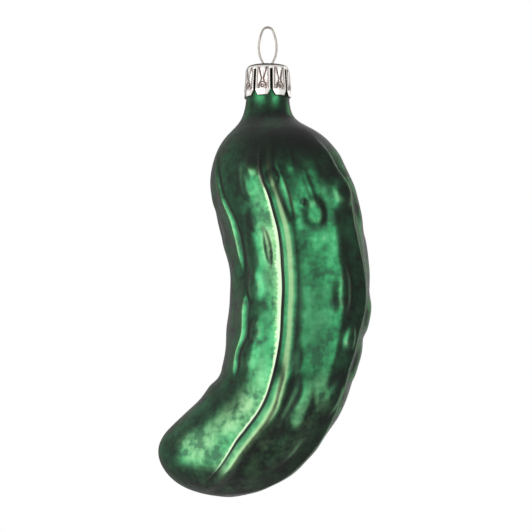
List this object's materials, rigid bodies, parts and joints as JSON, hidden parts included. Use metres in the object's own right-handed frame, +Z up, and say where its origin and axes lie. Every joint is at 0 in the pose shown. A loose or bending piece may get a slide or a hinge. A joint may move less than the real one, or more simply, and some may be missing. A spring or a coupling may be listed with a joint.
{
  "type": "pickle ornament",
  "caption": "Curved blown-glass gherkin ornament: ribbed and warty silvered body in matt green lacquer, slit silver crown cap over the neck and a sprung wire hanging loop.",
  "frame": {"origin": "inside crown of the hanging loop, where the hook bears, on the axis of the neck", "axes": "+Z up along the neck, the gherkin bends in the XZ plane with its tip towards -X, and its front faces -Y"},
  "size_m": [0.0491, 0.0338, 0.1093],
  "materials": {
    "lacquered_glass": "silvered inside, matt translucent green lacquer outside",
    "plated_cap": "bright stamped and plated sheet",
    "spring_wire": "drawn spring wire"
  },
  "bodies": {
    "hanger_wire": {"hanger_wire": "spring_wire"},
    "crown_cap": {"crown_cap": "plated_cap"},
    "glass_body": {"glass_body": "lacquered_glass"}
  },
  "joints": [
    {"name": "loop_swivel", "type": "hinge", "parent": "hanger_wire", "child": "crown_cap", "pos_m": [0, 0, -0.009], "axis": [0, 0, 1], "continuous": true},
    {"name": "neck_pull", "type": "slide", "parent": "crown_cap", "child": "glass_body", "axis": [0, 0, -1], "range_m": [0, 0.022]}
  ]
}
